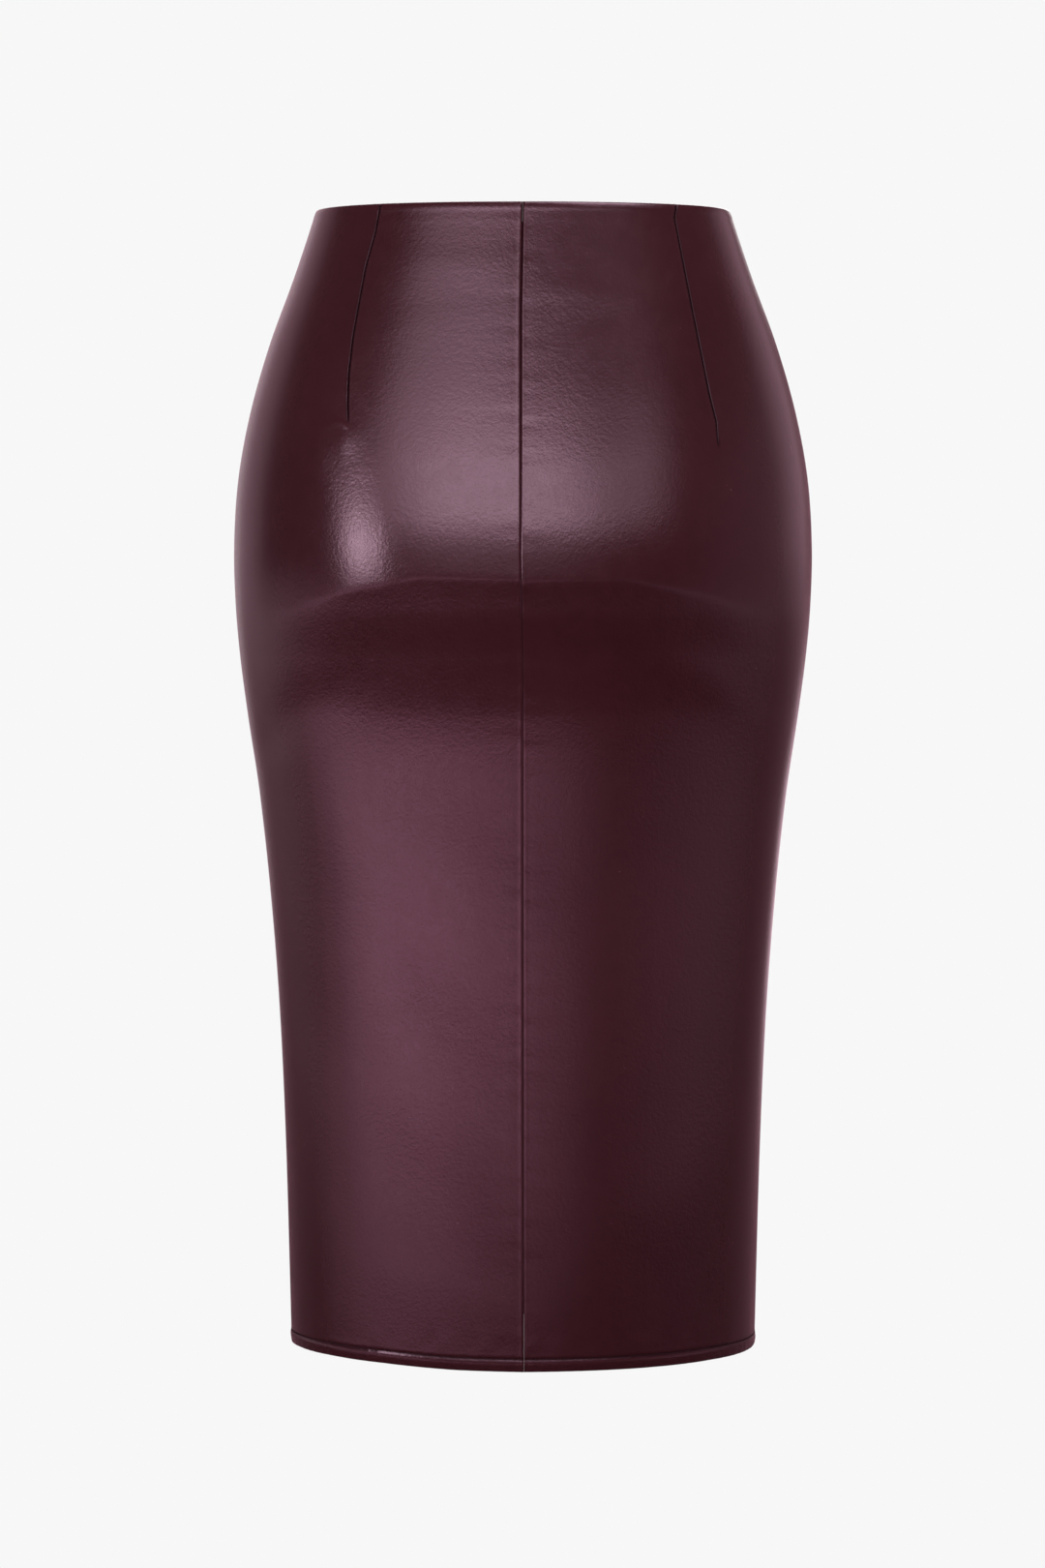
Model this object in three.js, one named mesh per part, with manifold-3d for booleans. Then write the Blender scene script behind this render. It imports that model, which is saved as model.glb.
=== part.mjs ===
// A pencil skirt of imitation leather, hollow and filled out as it is when worn.
// Millimetres. The origin is the centre of the waist opening, at the height of its edge.
// +Z points up, +Y to the back and +X to the wearer's left, so the skirt hangs below the origin.

import * as THREE from 'three';
import { mergeVertices } from 'three/addons/utils/BufferGeometryUtils.js';
import Module from 'manifold-3d';

const wasm = await Module();
wasm.setup();

// Driving sizes of the cloth
const length = 681;
const wall = 1.25;
const doubledWall = 2.5;
const waistTurn = 12;
const hemTurn = 12;
const foldRound = 1;
const turnSlope = 1.2;
const seamGap = 0.3;
const rowSpacing = 23;
const sectionPower = 2.2;

// Where the side seams run: forward of the widest line, less so towards the hem
const sideSeamY = { waist: -24, hem: -12 };

// Horizontal sections from the waist down: half the width, then how far the front and the back reach.
const sections = [
  { z: 0, halfWidth: 123.5, front: 84, back: 86 },
  { z: -40, halfWidth: 137, front: 92, back: 95.5 },
  { z: -80, halfWidth: 151.7, front: 97.5, back: 105 },
  { z: -120, halfWidth: 163.2, front: 101, back: 114.5 },
  { z: -160, halfWidth: 170.6, front: 103, back: 122.8 },
  { z: -200, halfWidth: 173.2, front: 104, back: 128.5 },
  { z: -235, halfWidth: 172.4, front: 103.5, back: 127 },
  { z: -265, halfWidth: 169.9, front: 102.5, back: 121.3 },
  { z: -300, halfWidth: 165.4, front: 101.5, back: 115 },
  { z: -350, halfWidth: 158.1, front: 100.3, back: 110.3 },
  { z: -410, halfWidth: 151.8, front: 99.3, back: 107 },
  { z: -480, halfWidth: 146.6, front: 99, back: 105.5 },
  { z: -560, halfWidth: 143.1, front: 99.5, back: 105 },
  { z: -length, halfWidth: 140, front: 100, back: 105 },
];

// Stitching lines of the darts, by how far each lies from the middle of the skirt
const backLeftDart = [
  { z: 0, x: 83 },
  { z: -37, x: 91.7 },
  { z: -79, x: 99 },
  { z: -127, x: 101.5 },
];
const backRightDart = [
  { z: 0, x: 89.5 },
  { z: -35, x: 93.4 },
  { z: -88, x: 103.3 },
  { z: -141, x: 112.8 },
];
const frontDart = [
  { z: 0, x: 70 },
  { z: -45, x: 77 },
  { z: -90, x: 80 },
];
const dartHalfWidth = 1.2;
const dartDepth = { waist: 0.7, tip: 0.25 };
const dartFade = 70;
const plainSpacing = 13;

// Columns beside each side seam, by their distance from it; the zip's tapes are as wide
const besideSeam = [6, 12];

// Concealed zip in the left side seam
const zip = {
  tapeThickness: 0.8,
  coilHalfWidth: 1.6,
  coilHeight: 1.8,
  length: 190,
  clearance: 0.3,
  notchHalfWidth: 1.7,
};
const slider = {
  z: -7,
  plateHalfWidth: 2.6,
  plateUp: 4.6,
  plateDown: 3.6,
  plateThickness: 0.8,
  neckHalfWidth: 1.2,
  neckUp: 4.2,
  neckDown: 3.6,
  bodyHalfWidth: 2.8,
  bodyUp: 4.4,
  bodyDown: 4.3,
  bodyDepth: 2.4,
  archHalfWidth: 0.8,
  archThickness: 0.7,
  weld: 0.4,
};
const pull = {
  barRadius: 0.5,
  clearance: 0.3,
  windowHalfWidth: 1.15,
  windowLength: 2.3,
  shoulderHalfWidth: 2.1,
  shoulderLength: 3.3,
  widestHalfWidth: 3.1,
  widestAt: 16.5,
  restTilt: THREE.MathUtils.degToRad(2.4),
};

// The sections joined by one smooth curve down each column of the table
function sectionAt(z, column) {
  const last = sections.length - 1;
  let i = 0;
  while (i < last - 1 && z < sections[i + 1].z) i += 1;
  const slopeAt = (k) => {
    const above = sections[Math.max(k - 1, 0)];
    const below = sections[Math.min(k + 1, last)];
    return (below[column] - above[column]) / (below.z - above.z);
  };
  const a = sections[i];
  const b = sections[i + 1];
  const span = b.z - a.z;
  const t = (z - a.z) / span;
  const t2 = t * t;
  const t3 = t2 * t;
  return (2 * t3 - 3 * t2 + 1) * a[column]
    + (t3 - 2 * t2 + t) * span * slopeAt(i)
    + (3 * t2 - 2 * t3) * b[column]
    + (t3 - t2) * span * slopeAt(i + 1);
}

// A table of places looked up by height, straight between its rows and constant below the last
function placeAt(rows, z) {
  for (let i = 0; i + 1 < rows.length; i += 1) {
    if (z >= rows[i + 1].z) {
      const t = (z - rows[i].z) / (rows[i + 1].z - rows[i].z);
      return THREE.MathUtils.lerp(rows[i].x, rows[i + 1].x, t);
    }
  }
  return rows[rows.length - 1].x;
}

// Half of the outline at one height, from centre back round the wearer's left to centre front,
// with the distance walked along it at each point
const outlineSteps = 360;
const outlines = new Map();
function outlineAt(z) {
  if (outlines.has(z)) return outlines.get(z);
  const halfWidth = sectionAt(z, 'halfWidth');
  const front = sectionAt(z, 'front');
  const back = sectionAt(z, 'back');
  const power = 2 / sectionPower;
  const points = [];
  let walked = 0;
  for (let i = 0; i <= outlineSteps; i += 1) {
    const angle = (Math.PI * i) / outlineSteps;
    const depth = i * 2 <= outlineSteps ? back : -front;
    const x = halfWidth * Math.abs(Math.sin(angle)) ** power;
    const y = depth * Math.abs(Math.cos(angle)) ** power;
    const before = points[i - 1];
    if (before) walked += Math.hypot(x - before.x, y - before.y);
    points.push({ x, y, walked });
  }
  outlines.set(z, points);
  return points;
}

function halfRound(z) {
  return outlineAt(z)[outlineSteps].walked;
}

// A point of the outline, by the distance walked from centre back; negative is the wearer's right.
// The inset moves it inwards, square to the cloth as seen from above.
function clothPoint(z, walked, inset) {
  const half = halfRound(z);
  const mirrored = walked < 0 || walked > half;
  const along = walked > half ? 2 * half - walked : Math.abs(walked);
  const points = outlineAt(z);
  let i = 0;
  while (i < outlineSteps - 1 && points[i + 1].walked < along) i += 1;
  const a = points[i];
  const b = points[i + 1];
  const t = (along - a.walked) / (b.walked - a.walked);
  const before = points[Math.max(i - 1, 0)];
  const after = points[Math.min(i + 2, outlineSteps)];
  const runX = THREE.MathUtils.lerp(b.x - before.x, after.x - a.x, t);
  const runY = THREE.MathUtils.lerp(b.y - before.y, after.y - a.y, t);
  const run = Math.hypot(runX, runY);
  const x = THREE.MathUtils.lerp(a.x, b.x, t) + (inset * runY) / run;
  const y = THREE.MathUtils.lerp(a.y, b.y, t) - (inset * runX) / run;
  return new THREE.Vector3(mirrored ? -x : x, y, z);
}

function walkToSideSeam(z) {
  const y = THREE.MathUtils.lerp(sideSeamY.waist, sideSeamY.hem, -z / length);
  const points = outlineAt(z);
  const i = points.findIndex((point) => point.y <= y);
  const t = (points[i - 1].y - y) / (points[i - 1].y - points[i].y);
  return THREE.MathUtils.lerp(points[i - 1].walked, points[i].walked, t);
}

function walkToBackDart(z, dart) {
  const x = placeAt(dart, z);
  const points = outlineAt(z);
  const i = points.findIndex((point) => point.x >= x);
  const t = (x - points[i - 1].x) / (points[i].x - points[i - 1].x);
  return THREE.MathUtils.lerp(points[i - 1].walked, points[i].walked, t);
}

function walkToFrontDart(z, dart) {
  const x = placeAt(dart, z);
  const points = outlineAt(z);
  const i = points.findLastIndex((point) => point.x >= x);
  const t = (points[i].x - x) / (points[i].x - points[i + 1].x);
  return THREE.MathUtils.lerp(points[i].walked, points[i + 1].walked, t);
}

// Below its tip a dart's line runs on down the cloth without a groove and its columns spread out
function dartLine(dart, walk) {
  const tip = dart[dart.length - 1].z;
  return {
    depthAt: (z) => (z >= tip ? THREE.MathUtils.mapLinear(z, 0, tip, dartDepth.waist, dartDepth.tip) : 0),
    spreadAt: (z) => {
      const below = THREE.MathUtils.clamp((tip - z) / dartFade, 0, 1);
      return THREE.MathUtils.lerp(dartHalfWidth, plainSpacing, below);
    },
    walkAt: (z) => (z >= tip ? walk(z, dart) : (walk(tip, dart) * halfRound(z)) / halfRound(tip)),
  };
}

// Heights of the rows: close together at the turned waist and hem, even between them
function rowHeights() {
  const top = [0, -foldRound, -waistTurn, -waistTurn - turnSlope];
  const bottom = [hemTurn + turnSlope, hemTurn, foldRound, 0].map((up) => up - length);
  const from = top[top.length - 1];
  const to = bottom[0];
  const count = Math.round((from - to) / rowSpacing);
  const between = [];
  for (let i = 1; i < count; i += 1) between.push(from + ((to - from) * i) / count);
  return [...top, ...between, ...bottom];
}

const rows = rowHeights();
const roundInset = 0.5;

// How far the outer and the inner face lie inside the skirt's form at a row
function outerInset(row) {
  return row === 0 || row === rows.length - 1 ? roundInset : 0;
}

function innerInset(row) {
  const fromEnd = Math.min(row, rows.length - 1 - row);
  if (fromEnd === 0) return doubledWall - roundInset;
  return fromEnd <= 2 ? doubledWall : wall;
}

// A closed solid from loops of points laid side by side; capFaces close the first and the last loop
function solidFromLoops(loops, capFaces) {
  const size = loops[0].length;
  const positions = loops.flat().flatMap((point) => point.toArray());
  const index = [];
  for (let i = 0; i + 1 < loops.length; i += 1) {
    for (let k = 0; k < size; k += 1) {
      const next = (k + 1) % size;
      const a = i * size + k;
      const b = i * size + next;
      index.push(a, b + size, b, a, a + size, b + size);
    }
  }
  const last = (loops.length - 1) * size;
  for (const [a, b, c] of capFaces) {
    index.push(a, b, c);
    index.push(last + a, last + c, last + b);
  }
  const geometry = new THREE.BufferGeometry();
  geometry.setAttribute('position', new THREE.Float32BufferAttribute(positions, 3));
  geometry.setIndex(index);
  return geometry;
}

// The places of a panel's columns at one height, from one edge to the other, each with its groove
function columnsAt(z, panel) {
  const { from, to } = panel;
  const plainStop = (walked) => ({ walked, depth: 0 });
  const start = from.beside.map((aside) => from.seamAt(z) + aside);
  const end = to.beside.map((aside) => to.seamAt(z) - aside).reverse();
  start.unshift(from.seamAt(z) + from.halfGapAt(z));
  end.push(to.seamAt(z) - to.halfGapAt(z));
  const stops = start.map(plainStop);
  panel.darts.forEach((line, i) => {
    const middle = line.walkAt(z);
    const spread = line.spreadAt(z);
    addPlainColumns(stops, middle - spread, panel.plainColumns[i]);
    stops.push({ walked: middle - spread, depth: 0 });
    stops.push({ walked: middle, depth: line.depthAt(z) });
    stops.push({ walked: middle + spread, depth: 0 });
  });
  addPlainColumns(stops, end[0], panel.plainColumns[panel.darts.length]);
  stops.push(...end.map(plainStop));
  return stops;
}

function addPlainColumns(stops, to, count) {
  const from = stops[stops.length - 1].walked;
  for (let i = 1; i <= count; i += 1) {
    stops.push({ walked: THREE.MathUtils.lerp(from, to, i / (count + 1)), depth: 0 });
  }
}

// One cut panel: its wall follows the form, doubled where the waist is turned in and the hem up
function panelGeometry(panel) {
  const columns = rows.map((z) => columnsAt(z, panel));
  const loops = columns[0].map((_, column) => {
    const pointAt = (row, inset) => {
      const stop = columns[row][column];
      return clothPoint(rows[row], stop.walked, inset + stop.depth);
    };
    const outside = rows.map((_z, row) => pointAt(row, outerInset(row)));
    const inside = rows.map((_z, row) => pointAt(row, innerInset(row))).reverse();
    return [...outside, ...inside];
  });
  const size = loops[0].length;
  const capFaces = [];
  for (let row = 0; row + 1 < rows.length; row += 1) {
    const far = size - 1 - row;
    capFaces.push([row, row + 1, far - 1], [row, far - 1, far]);
  }
  return solidFromLoops(loops, capFaces);
}

// Seams by where they run and half the gap there. The zipped one has a notch for the slider's neck.
const plainGap = () => seamGap / 2;
const backSeam = { seamAt: () => 0, halfGapAt: plainGap, beside: [] };
const leftSeam = {
  seamAt: walkToSideSeam,
  halfGapAt: (z) => (z >= -waistTurn ? zip.notchHalfWidth : seamGap / 2),
  beside: besideSeam,
};
const rightSeam = { seamAt: (z) => -walkToSideSeam(z), halfGapAt: plainGap, beside: besideSeam };
const rightSeamFromFront = {
  ...rightSeam,
  seamAt: (z) => 2 * halfRound(z) - walkToSideSeam(z),
};

const mirrored = (walk) => (z, dart) => -walk(z, dart);
const acrossFront = (walk) => (z, dart) => 2 * halfRound(z) - walk(z, dart);

const panels = {
  back_left: {
    from: backSeam,
    to: leftSeam,
    darts: [dartLine(backLeftDart, walkToBackDart)],
    plainColumns: [6, 7],
  },
  back_right: {
    from: rightSeam,
    to: backSeam,
    darts: [dartLine(backRightDart, mirrored(walkToBackDart))],
    plainColumns: [7, 6],
  },
  front: {
    from: leftSeam,
    to: rightSeamFromFront,
    darts: [
      dartLine(frontDart, walkToFrontDart),
      dartLine(frontDart, acrossFront(walkToFrontDart)),
    ],
    plainColumns: [5, 9, 5],
  },
};

// Both zip tapes and the closed coil between them, along the seam on the panels' rows and columns
function zipTapeGeometry() {
  const near = wall + zip.clearance;
  const far = near + zip.tapeThickness;
  const crest = far + zip.coilHeight;
  const [half, edge] = besideSeam;
  const lip = seamGap / 2;
  const coil = zip.coilHalfWidth;
  const section = [
    [-edge, near], [-half, near], [-lip, near], [lip, near], [half, near], [edge, near],
    [edge, far], [half, far], [coil, far], [coil, crest],
    [-coil, crest], [-coil, far], [-half, far], [-edge, far],
  ];
  const heights = rows.filter((z) => z < -waistTurn && z > -waistTurn - zip.length).reverse();
  const loops = heights.map((z) => {
    const seam = walkToSideSeam(z);
    return section.map(([across, inset]) => clothPoint(z, seam + across, inset));
  });
  const flat = section.map(([across, inset]) => new THREE.Vector2(across, inset));
  return solidFromLoops(loops, THREE.ShapeUtils.triangulateShape(flat, []));
}

// The slider's own axes: X across the seam, Y up the cloth, Z out of it, zero on the cloth's face
function sliderPlace() {
  const seamPoint = (z, inset) => clothPoint(z, walkToSideSeam(z), inset);
  const place = seamPoint(slider.z, 0);
  const out = place.clone().sub(seamPoint(slider.z, wall));
  const up = seamPoint(slider.z + slider.plateUp, 0).sub(seamPoint(slider.z - slider.plateUp, 0));
  const across = new THREE.Vector3(0, 0, 1).cross(out).normalize();
  const normal = across.clone().cross(up).normalize();
  const upCloth = normal.clone().cross(across);
  return new THREE.Matrix4().makeBasis(across, upCloth, normal).setPosition(place);
}

function extrude(shape, depth, curveSegments) {
  return new THREE.ExtrudeGeometry(shape, { depth, bevelEnabled: false, curveSegments });
}

function toManifold(geometry) {
  const bare = geometry.clone();
  bare.deleteAttribute('normal');
  bare.deleteAttribute('uv');
  const merged = mergeVertices(bare, 1e-4);
  return new wasm.Manifold(new wasm.Mesh({
    numProp: 3,
    vertProperties: merged.attributes.position.array,
    triVerts: Uint32Array.from(merged.index.array),
  }));
}

function fromManifold(solid) {
  const mesh = solid.getMesh();
  const geometry = new THREE.BufferGeometry();
  geometry.setAttribute('position', new THREE.BufferAttribute(new Float32Array(mesh.vertProperties), 3));
  geometry.setIndex(Array.from(mesh.triVerts));
  return geometry;
}

// A block across the middle, from so far down to so far up, between two heights off the cloth
function block(halfWidth, down, up, low, high) {
  const geometry = new THREE.BoxGeometry(2 * halfWidth, up + down, high - low);
  geometry.translate(0, (up - down) / 2, (low + high) / 2);
  return geometry;
}

const plateFace = zip.clearance;
const plateTop = plateFace + slider.plateThickness;
const barHeight = plateTop + pull.clearance + pull.barRadius;

function plateGeometry() {
  const radius = slider.plateHalfWidth;
  const plate = new THREE.Shape();
  plate.absarc(0, slider.plateUp - radius, radius, 0, Math.PI, false);
  plate.absarc(0, radius - slider.plateDown, radius, Math.PI, 2 * Math.PI, false);
  return extrude(plate, slider.plateThickness, 8).translate(0, 0, plateFace);
}

// Drawn from the side, as it stands on the plate, then turned to lie along the zip
function archGeometry() {
  const inner = pull.barRadius + pull.clearance;
  const outer = inner + slider.archThickness;
  const foot = plateTop - slider.weld;
  const arch = new THREE.Shape();
  arch.moveTo(outer, foot);
  arch.lineTo(outer, barHeight);
  arch.absarc(0, barHeight, outer, 0, Math.PI, false);
  arch.lineTo(-outer, foot);
  arch.lineTo(-inner, foot);
  arch.absarc(0, barHeight, inner, Math.PI, 0, true);
  arch.lineTo(inner, foot);
  const solid = extrude(arch, 2 * slider.archHalfWidth, 10);
  solid.translate(0, 0, -slider.archHalfWidth);
  return solid.rotateY(Math.PI / 2).rotateX(Math.PI / 2);
}

// A rounded plate outside, an arch over the pull's bar, a neck through the seam, a body on the coil
function sliderGeometry() {
  const { neckHalfWidth, neckDown, neckUp, bodyHalfWidth, bodyDown, bodyUp, bodyDepth, weld } = slider;
  const bodyTop = -(doubledWall + zip.clearance);
  const neck = block(neckHalfWidth, neckDown, neckUp, bodyTop - weld, plateFace + weld);
  const body = block(bodyHalfWidth, bodyDown, bodyUp, bodyTop - bodyDepth, bodyTop);
  const solids = [plateGeometry(), archGeometry(), neck, body].map(toManifold);
  return fromManifold(solids.reduce((whole, solid) => whole.add(solid)));
}

// A drop-shaped tab with a window for the arch; its bar is round, about the hinge axis
function pullGeometry() {
  const { barRadius, shoulderHalfWidth, shoulderLength, widestHalfWidth, widestAt } = pull;
  const tab = new THREE.Shape();
  tab.moveTo(-shoulderHalfWidth, 0);
  tab.lineTo(-shoulderHalfWidth, -shoulderLength);
  tab.absarc(0, -widestAt, widestHalfWidth, Math.PI, 2 * Math.PI, false);
  tab.lineTo(shoulderHalfWidth, -shoulderLength);
  tab.lineTo(shoulderHalfWidth, 0);
  const flat = extrude(tab, 2 * barRadius, 10).translate(0, 0, -barRadius);

  const window = block(pull.windowHalfWidth, pull.windowLength, barRadius, -2 * barRadius, 2 * barRadius);
  const bar = new THREE.CylinderGeometry(barRadius, barRadius, 2 * shoulderHalfWidth, 16);
  bar.rotateZ(Math.PI / 2);
  const solid = toManifold(flat).subtract(toManifold(window)).add(toManifold(bar));
  return fromManifold(solid).rotateX(pull.restTilt);
}

const finishes = {
  leather: { color: '#3f1c24', roughness: 0.36, metalness: 0 },
  zipTape: { color: '#3a1c25', roughness: 0.85, metalness: 0 },
  zipMetal: { color: '#4a2530', roughness: 0.4, metalness: 0.3 },
};

function named(name, geometry, finish) {
  const mesh = new THREE.Mesh(geometry, new THREE.MeshStandardMaterial(finishes[finish]));
  mesh.name = name;
  return mesh;
}

const skirt = new THREE.Group();
for (const [name, panel] of Object.entries(panels)) {
  skirt.add(named(name, panelGeometry(panel), 'leather'));
}
skirt.add(named('zip_tape', zipTapeGeometry(), 'zipTape'));

const zipHead = new THREE.Group();
zipHead.applyMatrix4(sliderPlace());
zipHead.add(named('zip_slider', sliderGeometry(), 'zipMetal'));
const tab = named('zip_pull', pullGeometry(), 'zipMetal');
tab.position.z = barHeight;
zipHead.add(tab);
skirt.add(zipHead);

export default skirt;
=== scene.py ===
import math

import bmesh
import bpy
import numpy as np
from mathutils import Matrix, Vector


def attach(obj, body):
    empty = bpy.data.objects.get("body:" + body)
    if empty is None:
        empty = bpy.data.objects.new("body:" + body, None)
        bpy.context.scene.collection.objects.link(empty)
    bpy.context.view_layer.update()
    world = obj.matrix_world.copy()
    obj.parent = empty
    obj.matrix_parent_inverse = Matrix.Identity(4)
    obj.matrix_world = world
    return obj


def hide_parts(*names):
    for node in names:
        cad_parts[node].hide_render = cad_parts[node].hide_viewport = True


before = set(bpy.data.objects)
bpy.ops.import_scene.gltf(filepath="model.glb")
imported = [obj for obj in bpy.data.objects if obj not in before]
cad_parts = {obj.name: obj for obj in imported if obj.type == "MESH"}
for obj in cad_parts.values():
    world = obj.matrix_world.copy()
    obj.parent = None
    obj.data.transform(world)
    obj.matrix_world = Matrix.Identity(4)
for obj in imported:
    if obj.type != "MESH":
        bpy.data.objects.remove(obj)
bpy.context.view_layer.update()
print("frame loaded")

# Sizes are in metres. The waist opening is at the origin, +Y is the back, +X the wearer's left.
skirt = {
    "length": 0.681,
    "cloth": 0.0011,
    "turn": 0.012,
    "foldRadius": 0.00105,
    "seamGap": 0.00004,
    "sectionPower": 2.2,  # how square the sections are
    "innerRelief": 0.55,  # share of the outside's relief that shows on the inside
    "sideSeamY": (-0.024, -0.012),
}

# Horizontal sections from the waist down: height, half the width, reach of the front and of the back
sections = [
    (0, 0.1235, 0.084, 0.086),
    (-0.040, 0.137, 0.092, 0.0955),
    (-0.080, 0.1517, 0.0975, 0.105),
    (-0.120, 0.1632, 0.101, 0.1145),
    (-0.160, 0.1706, 0.103, 0.1228),
    (-0.200, 0.1732, 0.104, 0.1285),
    (-0.235, 0.1724, 0.1035, 0.127),
    (-0.265, 0.1699, 0.1025, 0.1213),
    (-0.300, 0.1654, 0.1015, 0.115),
    (-0.350, 0.1581, 0.1003, 0.1103),
    (-0.410, 0.1518, 0.0993, 0.107),
    (-0.480, 0.1466, 0.099, 0.1055),
    (-0.560, 0.1431, 0.0995, 0.105),
    (-0.681, 0.140, 0.100, 0.105),
]

# Stitching lines of the darts, by height and distance from the middle of the skirt
darts = {
    "backLeft": [(0, 0.083), (-0.017, 0.0862), (-0.037, 0.0917), (-0.062, 0.0962), (-0.079, 0.099),
                 (-0.100, 0.1012), (-0.118, 0.1016), (-0.127, 0.1012)],
    "backRight": [(0, 0.0898), (-0.008, 0.0884), (-0.017, 0.0902), (-0.035, 0.0936), (-0.065, 0.0992),
                  (-0.088, 0.1037), (-0.112, 0.1083), (-0.128, 0.1122), (-0.141, 0.1132)],
    "front": [(0, 0.070), (-0.045, 0.077), (-0.090, 0.080)],
}
# The centre back seam strays a little to the wearer's left of the middle, by height
backSeamStray = [(0, 0.0001), (-0.062, 0.0012), (-0.205, 0.0012), (-0.278, 0), (-0.681, -0.0005)]

heights, halfWidths, fronts, backs = np.array(sections).T


def smoothCurve(value):
    # one smooth curve through a column of the sections, by height
    z = heights
    slope = np.empty(len(z))
    slope[1:-1] = (value[2:] - value[:-2]) / (z[2:] - z[:-2])
    slope[0] = (value[1] - value[0]) / (z[1] - z[0])
    slope[-1] = (value[-1] - value[-2]) / (z[-1] - z[-2])

    def at(height):
        i = int(np.clip(np.searchsorted(-z, -height, side="right") - 1, 0, len(z) - 2))
        span = z[i + 1] - z[i]
        t = (height - z[i]) / span
        return (
            (2 * t**3 - 3 * t**2 + 1) * value[i]
            + (t**3 - 2 * t**2 + t) * span * slope[i]
            + (3 * t**2 - 2 * t**3) * value[i + 1]
            + (t**3 - t**2) * span * slope[i + 1]
        )

    return at


halfWidthAt = smoothCurve(halfWidths)
frontAt = smoothCurve(fronts)
backAt = smoothCurve(backs)


class Outline:
    # half of the horizontal section at one height, walked from centre back to centre front
    steps = 720

    def __init__(self, z):
        angle = np.linspace(0, math.pi, self.steps + 1)
        power = 2 / skirt["sectionPower"]
        depth = np.where(angle <= math.pi / 2, backAt(z), -frontAt(z))
        self.z = z
        self.x = halfWidthAt(z) * np.abs(np.sin(angle)) ** power
        self.y = depth * np.abs(np.cos(angle)) ** power
        run = np.hypot(np.diff(self.x), np.diff(self.y))
        self.walked = np.concatenate(([0], np.cumsum(run)))
        self.half = self.walked[-1]
        alongX = np.gradient(self.x, self.walked)
        alongY = np.gradient(self.y, self.walked)
        size = np.hypot(alongX, alongY)
        self.outX = -alongY / size
        self.outY = alongX / size

    def places(self, walked, out=0.0):
        # points on the outline, moved out square to it as seen from above
        walked = np.asarray(walked, dtype=float)
        along = np.where(walked > self.half, 2 * self.half - walked, np.abs(walked))
        side = np.where((walked < 0) | (walked > self.half), -1.0, 1.0)
        x = np.interp(along, self.walked, self.x) + out * np.interp(along, self.walked, self.outX)
        y = np.interp(along, self.walked, self.y) + out * np.interp(along, self.walked, self.outY)
        return np.stack([side * x, y, np.full_like(x, self.z)], axis=-1)

    def sideSeam(self):
        waist, hem = skirt["sideSeamY"]
        y = waist + (hem - waist) * -self.z / skirt["length"]
        return float(np.interp(-y, -self.y, self.walked))

    def backWalk(self, x):
        wide = int(np.argmax(self.x))
        return float(np.interp(x, self.x[: wide + 1], self.walked[: wide + 1]))

    def frontWalk(self, x):
        wide = int(np.argmax(self.x))
        return float(np.interp(-x, -self.x[wide:], self.walked[wide:]))


outlines = {}


def outlineAt(z):
    key = round(z, 7)
    if key not in outlines:
        outlines[key] = Outline(z)
    return outlines[key]


def tableAt(rows, z):
    # a value from a table that runs down by height
    return float(np.interp(-z, [-row[0] for row in rows], [row[1] for row in rows]))


def share(value):
    return min(max(value, 0.0), 1.0)


def dartTip(name):
    # the front's far dart, on the wearer's right, is drawn from the same line
    return darts[name.removesuffix("Far")][-1][0]


def dartWalk(name, z):
    # where a dart's line is on the outline; below its tip it runs on in proportion
    rows = darts[name.removesuffix("Far")]
    tip = dartTip(name)
    here = outlineAt(max(z, tip))
    x = tableAt(rows, max(z, tip))
    walked = here.frontWalk(x) if name.startswith("front") else here.backWalk(x)
    if name == "backRight":
        walked = -walked
    if name == "frontFar":
        walked = 2 * here.half - walked
    return walked * outlineAt(z).half / here.half


def seamWalk(name, z):
    here = outlineAt(z)
    side = here.sideSeam()
    walks = {
        "back": tableAt(backSeamStray, z),
        "left": side,
        "right": -side,
        "rightFront": 2 * here.half - side,
    }
    return walks[name]


def bump(distance, width):
    return np.exp(-((distance / width) ** 2))


def wave(along, length, shift):
    # an uneven ripple, the same on each run
    turn = 2 * math.pi * along / length + shift
    return 0.6 * np.sin(turn) + 0.3 * np.sin(1.73 * turn + 1.1) + 0.2 * np.sin(0.47 * turn + 2.3)


# Relief of the cloth: how far it stands off the plain form
seamForm = {
    "depth": 0.00075,
    "width": 0.00052,
    "lipAt": 0.00150,
    "lipWidth": 0.00075,
    "allowance": 0.010,
    "allowanceShows": 0.00005,
    "allowanceEdge": 0.0009,
    "leastSunk": 0.45,  # share of the depth that stays far below the waist
    "deepReach": 0.16,
    "pucker": 0.00008,
    "puckerReach": 0.010,
    "puckerWave": 0.017,
}
dartForm = {
    "depth": 0.00130,
    "width": 0.00034,
    "lip": 0.00012,
    "lipAt": 0.0011,
    "lipWidth": 0.0006,
    "pucker": 0.00006,
    "puckerReach": 0.006,
    "puckerWave": 0.007,
    "heldFade": 0.020,
    "dimple": 0.0005,
    "dimpleBelow": 0.009,
    "dimpleWidth": 0.010,
    "bendFade": 0.045,
}
hemForm = {
    "stitchUp": 0.0076,
    "grooveDepth": 0.00034,
    "grooveWidth": 0.0010,
    "roll": 0.00045,
    "rollUp": 0.0048,
    "rollWidth": 0.0030,
    "pucker": 0.00022,
    "puckerUp": 0.009,
    "puckerWave": 0.0072,
    "dragUp": 0.015,
    "dragWidth": 0.006,
    "drag": 0.00012,
    "dragWave": 0.023,
    "riseFade": 0.060,
}
waistForm = {
    "turnShows": 0.00010,
    "turnEdge": 0.0012,
    "roll": 0.00018,
    "rollDown": 0.0032,
    "rollWidth": 0.0016,
}

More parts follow.
